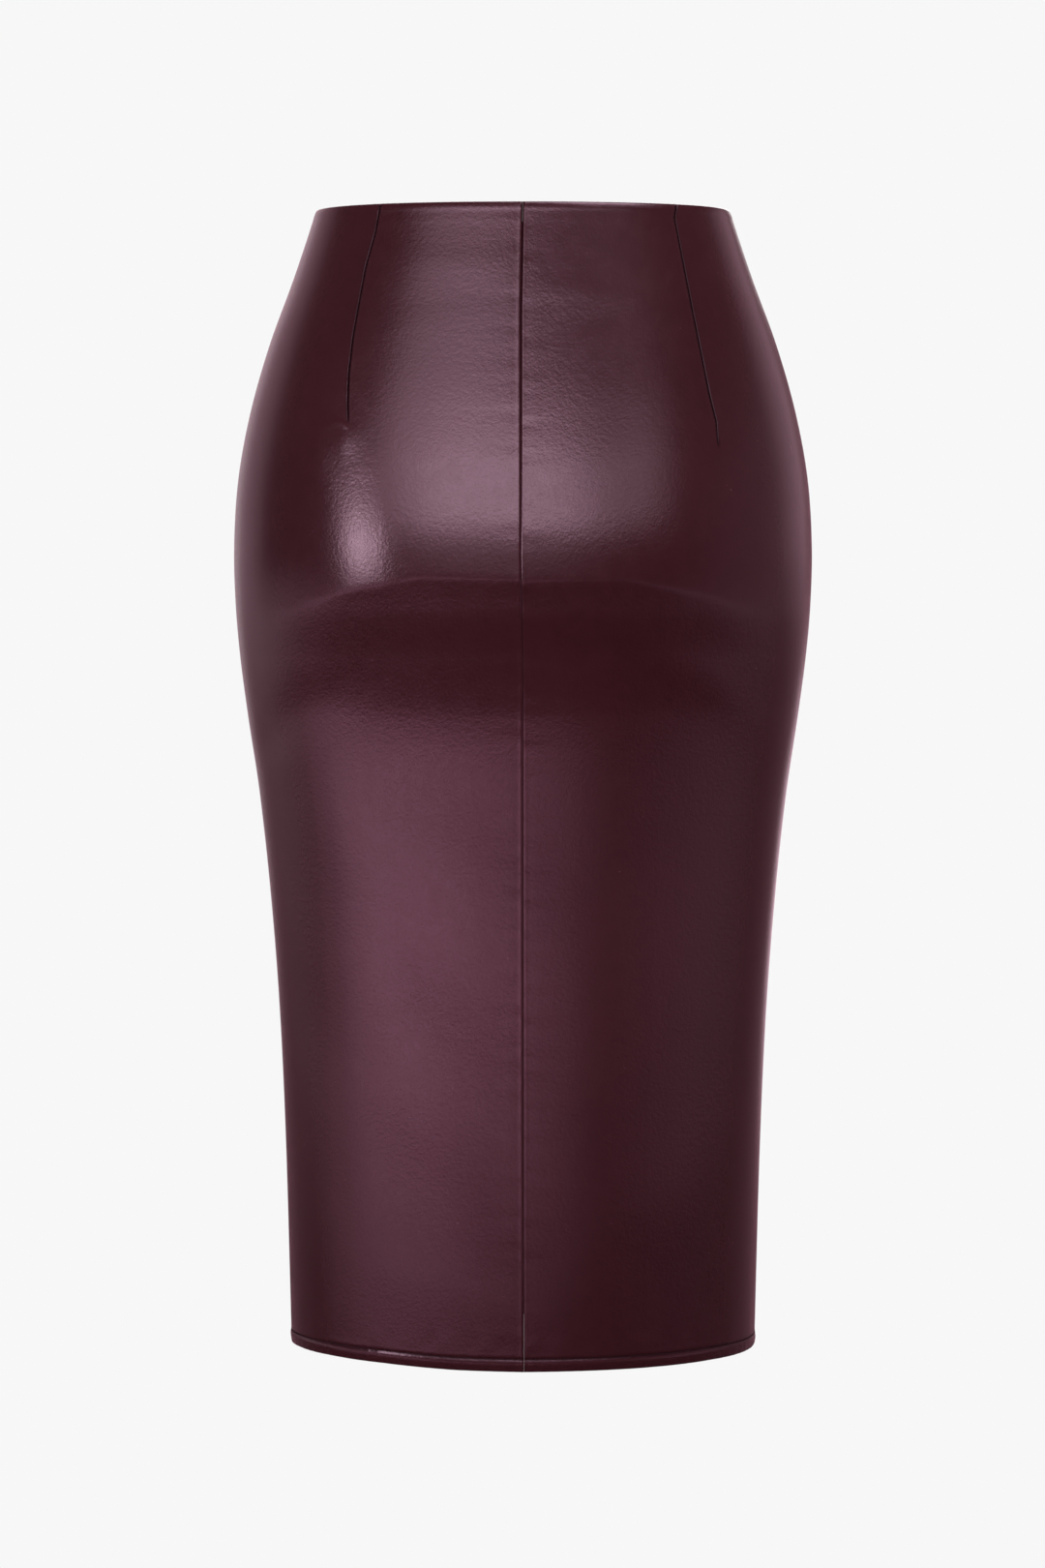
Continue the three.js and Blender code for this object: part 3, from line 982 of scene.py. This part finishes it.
def makeDartStitches():
    verts = []
    faces = []
    form = stitches["dart"]
    for panel in panels.values():
        for name in panel["darts"]:
            count = int(-dartTip(name) / form["pitch"])
            for i in range(1, count):
                z = -i * form["pitch"]
                low = z - form["length"] / 2
                high = z + form["length"] / 2
                a = clothPlaces(low, [dartWalk(name, low)], panel, form["sunk"], 0.0)[0]
                b = clothPlaces(high, [dartWalk(name, high)], panel, form["sunk"], 0.0)[0]
                addStitch(verts, faces, a, b, outwardAt(z, dartWalk(name, z)), "dart")
    return newObject("dartStitches", verts, faces, materials["thread"])


# Inside: the seams' allowances pressed open, and the darts' folds pressed to the middle
insideForm = {
    "width": 0.010,
    "across": [0.00025, 0.0010, 0.003, 0.0055, 0.008, 0.0095, 0.010],
    "clear": 0.00012,
    "fromTurn": 0.0006,
    "fromZip": 0.0040,
    "thickness": 0.0009,
    "lift": 0.0007,
    "liftWave": 0.055,
    "row": 0.006,
}
foldForm = {
    "across": [0.02, 0.2, 0.5, 0.8, 0.95, 1.0],
    "wideAtTip": 0.0012,
    "wideAtWaist": 0.010,  # more than at the tip
    "aboveTip": 0.004,
    "layers": 1.9,
}


def bandRows(top, end):
    count = math.ceil((top - end) / insideForm["row"])
    return [top + (end - top) * i / count for i in range(count + 1)]


def makeAllowances():
    verts = []
    faces = []
    across = insideForm["across"]
    near = skirt["cloth"] + insideForm["clear"]
    fromEdge = skirt["turn"] + insideForm["fromTurn"]
    for panel in panels.values():
        for number, seam in enumerate(panel["seams"]):
            top = zipForm["end"] - insideForm["fromZip"] if seam == "left" else -fromEdge
            outer = []
            inner = []
            for z in bandRows(top, fromEdge - skirt["length"]):
                side = 1 if number == 0 else -1
                walks = np.array([seamWalk(seam, z) + side * away for away in across])
                flap = np.array([(away / insideForm["width"]) ** 2 for away in across])
                ripple = 1.1 + wave(z, insideForm["liftWave"], number + panel["shift"])
                under = -near - insideForm["lift"] * flap * ripple / 2
                outer.append(clothPlaces(z, walks, panel, under, skirt["innerRelief"]))
                under = under - insideForm["thickness"]
                inner.append(clothPlaces(z, walks, panel, under, skirt["innerRelief"]))
            addShell(verts, faces, np.array(outer), np.array(inner))
    return newObject("seamAllowances", verts, faces, materials["leather"])


def makeDartFolds():
    verts = []
    faces = []
    top = -skirt["turn"] - insideForm["fromTurn"]
    under = -skirt["cloth"] - insideForm["clear"]
    lower = under - foldForm["layers"] * insideForm["thickness"]
    for panel in panels.values():
        for name in panel["darts"]:
            toMiddle = 1 if name in ("backRight", "front") else -1
            outer = []
            inner = []
            tip = dartTip(name)
            for z in bandRows(top, tip - foldForm["aboveTip"]):
                wide = foldForm["wideAtTip"] + foldForm["wideAtWaist"] * max(0.0, 1 - z / tip)
                walks = np.array([dartWalk(name, z) + toMiddle * wide * at for at in foldForm["across"]])
                outer.append(clothPlaces(z, walks, panel, under, skirt["innerRelief"]))
                inner.append(clothPlaces(z, walks, panel, lower, skirt["innerRelief"]))
            addShell(verts, faces, np.array(outer), np.array(inner))
    made = newObject("dartFolds", verts, faces, materials["leather"])
    paintPoints(made, "backing", np.ones(len(verts)))
    return made


pieces["hemStitches"] = makeHemStitches()
pieces["dartStitches"] = makeDartStitches()
pieces["seamAllowances"] = makeAllowances()
pieces["dartFolds"] = makeDartFolds()
print("panels sewn")


def zipPlaces(z, across, inset):
    return outlineAt(z).places(np.asarray(across) + seamWalk("left", z), -np.asarray(inset))


def makeZipTapes():
    # two woven tapes with a corded edge by the coil
    verts = []
    faces = []
    across = np.array([0.0002, 0.0009, 0.0017, 0.0026, 0.005, 0.0075, 0.010, zipForm["tapeHalf"]])
    cord = np.array([0.0, 0.0003, 0.00035, 0.0001, 0.0, 0.0, 0.0, 0.0])
    for side in (1, -1):
        outer = []
        inner = []
        for z in bandRows(zipForm["top"], zipForm["end"]):
            near = np.full(len(across), zipForm["behind"])
            outer.append(zipPlaces(z, side * across, near))
            inner.append(zipPlaces(z, side * across, near + zipForm["tape"] + cord))
        addShell(verts, faces, np.array(outer), np.array(inner))
    return newObject("zipTapes", verts, faces, materials["tape"])


def makeZipCoil():
    # each tooth is a nylon loop that reaches over the middle to the other tape
    verts = []
    faces = []
    base = zipForm["behind"] + zipForm["tape"]
    radii = [zipForm["toothRadius"] * swell for swell in zipForm["toothSwell"]]
    count = int((zipForm["top"] - zipForm["end"] - zipForm["toothFromEnd"]) / zipForm["toothPitch"])
    upward = np.array([0, 0, 1.0])
    for side in (1, -1):
        first = zipForm["top"] - zipForm["toothFromTop"]
        for i in range(count):
            z = first - zipForm["toothPitch"] * (i + (0.5 if side < 0 else 0.0))
            path = [zipPlaces(z, [side * across], [base + up])[0] for across, up in zipForm["tooth"]]
            addTube(verts, faces, path, radii, upward)
    return newObject("zipCoil", verts, faces, materials["coil"])


def makeZipStitches():
    verts = []
    faces = []
    form = stitches["zip"]
    reach = form["length"] / 2
    inset = zipForm["behind"] + zipForm["tape"] + zipForm["threadOff"]
    count = int((zipForm["top"] - zipForm["end"]) / form["pitch"])
    for side in (1, -1):
        across = side * zipForm["sewnAt"]
        for i in range(1, count):
            z = zipForm["top"] - i * form["pitch"]
            a = zipPlaces(z - reach, [across], [inset])[0]
            b = zipPlaces(z + reach, [across], [inset])[0]
            addStitch(verts, faces, a, b, -outwardAt(z, seamWalk("left", z)), "zip")
    return newObject("zipStitches", verts, faces, materials["thread"])


# The slider and its pull in their own axes: X across the seam, Y up the cloth, Z out of it
slider = {
    "z": -0.007,
    "wall": 0.00125,
    "reach": 0.0046,
    "plateHalf": 0.0026,
    "plateUp": 0.0046,
    "plateDown": 0.0036,
    "plateLow": 0.0003,
    "plateTop": 0.0011,
    "neckHalf": 0.0012,
    "bodyHalf": 0.0028,
    "bodyUp": 0.0044,
    "bodyDown": 0.0043,
    "bodyTop": -0.0028,
    "bodyLow": -0.0052,
    "bodyCorner": 0.0012,
    "neckUp": 0.0042,
    "neckCorner": 0.0006,
    "wedgeUp": 0.0026,
    "wedgeHalf": 0.0013,
    "wedgeFoot": [(-0.0004, -0.0006), (0.0004, -0.0006)],
    "railHalf": 0.00035,
    "railIn": 0.0004,
    "railShort": 0.0006,
    "railTop": 0.0011,
    "railCorner": 0.0003,
    "wing": 0.0005,
    "barHeight": 0.0019,
    "archInner": 0.0008,
    "archOuter": 0.0015,
    "archHalf": 0.0008,
    "archSunk": 0.0004,
    "neckSunk": 0.0002,
    "rounding": {"plate": 0.00022, "bridge": 0.00015, "neck": 0.0001, "wing": 0.00018,
                 "wedge": 0.00008, "rail": 0.00012},
}
pull = {
    "barRadius": 0.0005,
    "windowHalf": 0.00115,
    "windowDown": 0.0023,
    "shoulderHalf": 0.0021,
    "shoulderDown": 0.0033,
    "roundHalf": 0.0031,
    "roundAt": 0.0165,
    "rim": 0.0009,
    "web": 0.00055,
    "recessShoulder": 0.0052,
    "recessTop": 0.0046,
    "webTop": 0.0042,
    "corners": {"outside": 0.0004, "window": 0.0003, "recess": 0.0005},
    "rounding": {"tab": 0.00022, "web": 0.00005},
    "tiltDegrees": 2.4,
}


def sliderSeat():
    # where the slider stands in the seam, and its axes there
    def seam(z, inset=0.0):
        return Vector(outlineAt(z).places([seamWalk("left", z)], -inset)[0])

    z = slider["z"]
    place = seam(z)
    out = place - seam(z, slider["wall"])
    up = seam(z + slider["reach"]) - seam(z - slider["reach"])
    across = Vector((0, 0, 1)).cross(out).normalized()
    normal = across.cross(up).normalized()
    upCloth = normal.cross(across)
    seat = Matrix((across, upCloth, normal)).transposed().to_4x4()
    seat.translation = place
    return seat


def arc(centre, radius, start, end, steps=14):
    turns = [math.radians(start + (end - start) * i / steps) for i in range(steps + 1)]
    return [(centre[0] + radius * math.cos(t), centre[1] + radius * math.sin(t)) for t in turns]


def roundedBlock(half, low, high, radius, middle=0.0):
    left = middle - half + radius
    right = middle + half - radius
    under = low + radius
    over = high - radius
    loop = []
    for i, corner in enumerate([(right, over), (left, over), (left, under), (right, under)]):
        loop += arc(corner, radius, 90 * i, 90 * i + 90, 5)
    return loop


def cutPlate(name, loops, low, high, rounding):
    # a plate cut to its loops, the later ones holes, with its edges rounded over
    curve = bpy.data.curves.new(name, "CURVE")
    curve.dimensions = "2D"
    curve.fill_mode = "BOTH"
    curve.extrude = (high - low) / 2 - rounding
    curve.bevel_depth = rounding
    curve.bevel_resolution = 2
    curve.offset = -rounding
    for loop in loops:
        spline = curve.splines.new("POLY")
        spline.points.add(len(loop) - 1)
        spline.points.foreach_set("co", [v for x, y in loop for v in (x, y, 0, 1)])
        spline.use_cyclic_u = True
    drawn = addObject(name, curve)
    bpy.context.view_layer.update()
    data = bpy.data.meshes.new_from_object(drawn.evaluated_get(bpy.context.evaluated_depsgraph_get()))
    bpy.data.objects.remove(drawn)
    data.transform(Matrix.Translation((0, 0, (low + high) / 2)))
    return data


def joinPlates(name, plates, seat, material):
    bm = bmesh.new()
    for plate in plates:
        bm.from_mesh(plate)
    bmesh.ops.remove_doubles(bm, verts=bm.verts, dist=0.000004)
    bmesh.ops.recalc_face_normals(bm, faces=bm.faces)
    bm.transform(seat)
    data = bpy.data.meshes.new(name)
    bm.to_mesh(data)
    bm.free()
    data.materials.append(material)
    made = addObject(name, data)
    data.shade_smooth()
    weighted = made.modifiers.new("faces", "WEIGHTED_NORMAL")
    weighted.keep_sharp = True
    return made


def makeSlider(seat):
    half = slider["plateHalf"]
    wide = slider["bodyHalf"]
    up = slider["bodyUp"]
    down = -slider["bodyDown"]
    top = slider["bodyTop"]
    low = slider["bodyLow"]
    thin = slider["wing"]
    sunk = slider["neckSunk"]
    plate = arc((0, slider["plateUp"] - half), half, 0, 180)
    plate += arc((0, half - slider["plateDown"]), half, 180, 360)
    rounding = slider["rounding"]
    wing = roundedBlock(wide, down, up, slider["bodyCorner"])
    neck = roundedBlock(slider["neckHalf"], -slider["plateDown"], slider["neckUp"], slider["neckCorner"])
    wedge = arc((0, slider["wedgeUp"]), slider["wedgeHalf"], 0, 180, 10) + slider["wedgeFoot"]
    railEnds = (down + slider["railIn"], up - slider["railShort"])
    rails = [
        roundedBlock(slider["railHalf"], *railEnds, slider["railCorner"], x)
        for x in (-wide + slider["railIn"], wide - slider["railIn"])
    ]
    foot = slider["plateTop"] - slider["archSunk"] - slider["barHeight"]
    outer = slider["archOuter"]
    inner = slider["archInner"]
    arch = [(outer, foot)] + arc((0, 0), outer, 0, 180) + [(-outer, foot), (-inner, foot)]
    arch += arc((0, 0), inner, 180, 0) + [(inner, foot)]
    bridge = cutPlate("bridge", [arch], -slider["archHalf"], slider["archHalf"], rounding["bridge"])
    bridge.transform(Matrix.Rotation(math.pi / 2, 4, "X") @ Matrix.Rotation(math.pi / 2, 4, "Y"))
    bridge.transform(Matrix.Translation((0, 0, slider["barHeight"])))
    plates = [
        cutPlate("plate", [plate], slider["plateLow"], slider["plateTop"], rounding["plate"]),
        bridge,
        cutPlate("neck", [neck], top - sunk, slider["plateLow"] + sunk, rounding["neck"]),
        cutPlate("upperWing", [wing], top - thin, top, rounding["wing"]),
        cutPlate("lowerWing", [wing], low, low + thin, rounding["wing"]),
        cutPlate("wedge", [wedge], low + thin / 2, top - thin / 2, rounding["wedge"]),
    ]
    railTop = low + slider["railTop"]
    plates += [cutPlate("rail", [shape], low + thin / 2, railTop, rounding["rail"]) for shape in rails]
    return joinPlates("zipSlider", plates, seat, materials["metal"])


def dropShape(shoulderHalf, shoulderAt, roundHalf, roundAt, topAt, corner):
    # a drop's outline, hanging down from its shoulders
    side = [(shoulderHalf, shoulderAt)]
    top = arc((shoulderHalf - corner, topAt - corner), corner, 0, 90, 5)
    top += arc((corner - shoulderHalf, topAt - corner), corner, 90, 180, 5)
    return top + [(-shoulderHalf, shoulderAt)] + arc((0, roundAt), roundHalf, 180, 360, 26) + side


def makePull(seat):
    radius = pull["barRadius"]
    rim = pull["rim"]
    shoulder = pull["shoulderHalf"]
    half = pull["roundHalf"]
    at = -pull["roundAt"]
    low = -pull["recessShoulder"]
    corners = pull["corners"]
    rounding = pull["rounding"]
    outside = dropShape(shoulder, -pull["shoulderDown"], half, at, radius, corners["outside"])
    window = roundedBlock(pull["windowHalf"], -pull["windowDown"], -radius, corners["window"])
    recess = dropShape(shoulder - rim, low, half - rim, at, -pull["recessTop"], corners["recess"])
    web = dropShape(shoulder - rim / 2, low, half - rim / 2, at, -pull["webTop"], corners["recess"])
    plates = [
        cutPlate("tab", [outside, window, recess], -radius, radius, rounding["tab"]),
        cutPlate("web", [web], -pull["web"] / 2, pull["web"] / 2, rounding["web"]),
    ]
    tilt = Matrix.Rotation(math.radians(pull["tiltDegrees"]), 4, "X")
    lift = Matrix.Translation((0, 0, slider["barHeight"]))
    return joinPlates("zipPull", plates, seat @ lift @ tilt, materials["metal"])


seat = sliderSeat()
pieces["zipTapes"] = makeZipTapes()
pieces["zipCoil"] = makeZipCoil()
pieces["zipStitches"] = makeZipStitches()
pieces["zipSlider"] = makeSlider(seat)
pieces["zipPull"] = makePull(seat)
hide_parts("zip_tape")
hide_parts("zip_slider")
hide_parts("zip_pull")
print("zip made")

for name, piece in pieces.items():
    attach(piece, "pull" if name == "zipPull" else "skirt")

view = {"distance": 2.8, "height": -0.1967, "downDegrees": 2.99, "lens": 106.9, "aside": 0.0003}


def makeCamera():
    data = bpy.data.cameras.new("camera")
    data.sensor_fit = "VERTICAL"
    data.sensor_height = 36
    data.lens = view["lens"]
    data.clip_end = 50
    made = addObject("camera", data)
    made.location = (view["aside"], view["distance"], view["height"])
    made.rotation_euler = (math.radians(90 - view["downDegrees"]), 0, math.radians(180))
    return made


bpy.context.scene.camera = makeCamera()

# Lights by where they stand round the skirt: degrees to the wearer's left of the back and degrees
# up, the degrees that they cover across and up, and how brightly their faces glow. A soft lamp
# fades from further in, a warm one is rosier. A lamp of several boxes with grids shines only within
# the grid's degrees of its aim, a height on the skirt's middle.
lampReach = 2.2
lampTarget = Vector((0, 0, -0.25))
lamps = {
    "main": {"around": 7, "up": 23, "across": 66, "tall": 15, "glow": 6.4},
    "mainLeft": {"around": 36, "up": 24, "across": 20, "tall": 15, "glow": 1.75},
    "mainRight": {"around": -30, "up": 23, "across": 38, "tall": 16, "glow": 2.8, "soft": 0.5},
    "mainTop": {"around": 20, "up": 33, "across": 52, "tall": 13, "glow": 2.2},
    "strip": {"around": 48.5, "up": 9.5, "across": 18, "tall": 24, "glow": 10.8},
    "mid": {"around": 9, "up": 9, "across": 62, "tall": 22, "glow": 0.95, "soft": 0.5},
    "low": {"around": 31, "up": -14, "across": 104, "tall": 16, "glow": 9.0, "soft": 0.5, "warm": 0.8,
            "boxes": 14, "grid": 5.0, "aimAt": -0.385},
    "lowest": {"around": 42, "up": -19, "across": 112, "tall": 14, "glow": 1.4, "soft": 0.5, "warm": 0.8,
               "boxes": 14, "grid": 8, "aimAt": -0.65},
    "lowLeft": {"around": 84, "up": -9, "across": 104, "tall": 18, "glow": 0.95, "soft": 0.5,
                "warm": 0.5},
    "lowRight": {"around": -60, "up": -11, "across": 110, "tall": 17, "glow": 0.6, "soft": 0.5,
                 "warm": 0.5},
    "right": {"around": -84, "up": 10, "across": 80, "tall": 45, "glow": 0.20, "warm": 0.6},
    "frontRight": {"around": -127, "up": 13, "across": 50, "tall": 45, "glow": 0.56, "warm": 0.8},
    "frontLeft": {"around": 127, "up": 12, "across": 50, "tall": 54, "glow": 0.46, "warm": 0.8},
    "frontLeftWall": {"around": 155, "up": 12, "across": 38, "tall": 54, "glow": 0.6, "warm": 0.4},
    "overRight": {"around": -40, "up": 62, "across": 76, "tall": 46, "glow": 6.5},
    "overFront": {"around": 180, "up": 62, "across": 76, "tall": 46, "glow": 1.6},
    "frontKey": {"around": 186, "up": 21, "across": 40, "tall": 22, "glow": 4.0},
    "frontLow": {"around": 188, "up": -9, "across": 64, "tall": 18, "glow": 1.5, "soft": 0.5,
                 "warm": 0.6},
}
warmTint = (1.0, 0.62, 0.76)  # what a fully warm lamp glows with; the walls by the skirt are rosy
lampSoftness = 0.35  # share of a lamp's face over which its glow fades at each edge, if it names none
hardEdge = 0.001  # for the sides by which boxes of a row touch


def fadeEdges(light, softAcross, softTall):
    # a softbox glows most in its middle
    light.use_nodes = True
    wire = Wire(light.node_tree)
    face = wire.node("ShaderNodeNewGeometry", output=5)
    across = wire.node("ShaderNodeSeparateXYZ", None, {0: face}, 0)
    along = wire.node("ShaderNodeSeparateXYZ", None, {0: face}, 1)
    smooth = {"interpolation_type": "SMOOTHSTEP"}
    fades = [
        wire.node("ShaderNodeMapRange", smooth, {0: wire.math("PINGPONG", at, 0.5), 2: soft})
        for at, soft in ((across, softAcross), (along, softTall))
    ]
    plug(light.node_tree.nodes["Emission"], {"Strength": fades[0] * fades[1]})


def makeLamp(name, lamp, around, across, glow):
    light = bpy.data.lights.new(name, "AREA")
    light.shape = "RECTANGLE"
    light.color = [1 - lamp.get("warm", 0) * (1 - part) for part in warmTint]
    up = math.radians(lamp["up"])
    light.size = 2 * lampReach * math.tan(math.radians(across / 2)) * math.cos(up)
    light.size_y = 2 * lampReach * math.tan(math.radians(lamp["tall"] / 2))
    light.energy = math.pi * light.size * light.size_y * glow
    soft = lamp.get("soft", lampSoftness)
    fadeEdges(light, hardEdge if "boxes" in lamp else soft, soft)
    made = addObject(name, light)
    turn = math.radians(around)
    aim = Vector((math.sin(turn) * math.cos(up), math.cos(turn) * math.cos(up), math.sin(up)))
    made.location = lampTarget + aim * lampReach
    if "grid" in lamp:
        half = math.radians(lamp["grid"])
        light.spread = 2 * half
        light.energy *= 1 - half / math.tan(half)  # keeps the glow that is seen from straight ahead
        aim = made.location - Vector((0, 0, lamp["aimAt"]))
    made.rotation_euler = aim.to_track_quat("Z", "Y").to_euler()
    made.visible_camera = False


def makeLampRow(name, lamp):
    # a lamp of several boxes side by side glows less toward its ends
    boxes = lamp.get("boxes", 1)
    across = lamp["across"] / boxes
    for i in range(boxes):
        around = lamp["around"] + across * (i - (boxes - 1) / 2)
        makeLamp(name, lamp, around, across, lamp["glow"] * math.sin(math.pi * (i + 0.5) / boxes))


for name, lamp in lamps.items():
    makeLampRow(name, lamp)

studio = {
    "white": (0.93, 0.93, 0.93, 1),
    "upper": (0.08, 0.08, 0.08, 1),
    "lower": (0.04, 0.04, 0.04, 1),
    "floor": -1.35,
    "floorHalf": 4,
    "floorTone": (0.75, 0.75, 0.75, 1),
}


def makeWorld():
    # the camera sees an even white; the skirt is lit by a dim room, dimmer below the waist's height
    world = bpy.data.worlds.new("studio")
    bpy.context.scene.world = world
    world.use_nodes = True
    wire = Wire(world.node_tree)
    seen = wire.node("ShaderNodeLightPath", output=0)
    aim = wire.node("ShaderNodeTexCoord", output=0)
    height = wire.node("ShaderNodeSeparateXYZ", None, {0: aim}, 2)
    climb = wire.node("ShaderNodeMapRange", None, {0: height, 1: -0.25, 2: 0.15, 3: 0.0, 4: 1.0})
    room = mixColours(climb, studio["lower"], studio["upper"])
    plug(world.node_tree.nodes["Background"], {"Color": mixColours(seen, room, studio["white"])})


def makeFloor():
    # pale floor, seen as the same even white as the wall behind
    material, place, shader = startMaterial("paleFloor")
    plug(shader, {"Base Color": studio["floorTone"], "Roughness": 0.9})
    glow = place.node("ShaderNodeEmission", None, {"Color": studio["white"]})
    seen = place.node("ShaderNodeLightPath")
    pale = Wire(place.tree, shader.outputs[0])
    lit = place.node("ShaderNodeMixShader", None, {0: seen, 1: pale, 2: glow})
    plug(place.tree.nodes["Material Output"], {"Surface": lit})
    z = studio["floor"]
    far = studio["floorHalf"]
    corners = [(-far, -far, z), (far, -far, z), (far, far, z), (-far, far, z)]
    floor = newObject("floor", corners, [(0, 1, 2, 3)], material, False)
    floor.visible_glossy = False


makeWorld()
makeFloor()
bpy.context.scene.view_settings.view_transform = "Standard"
bpy.context.scene.view_settings.look = "None"
print("stage ready")
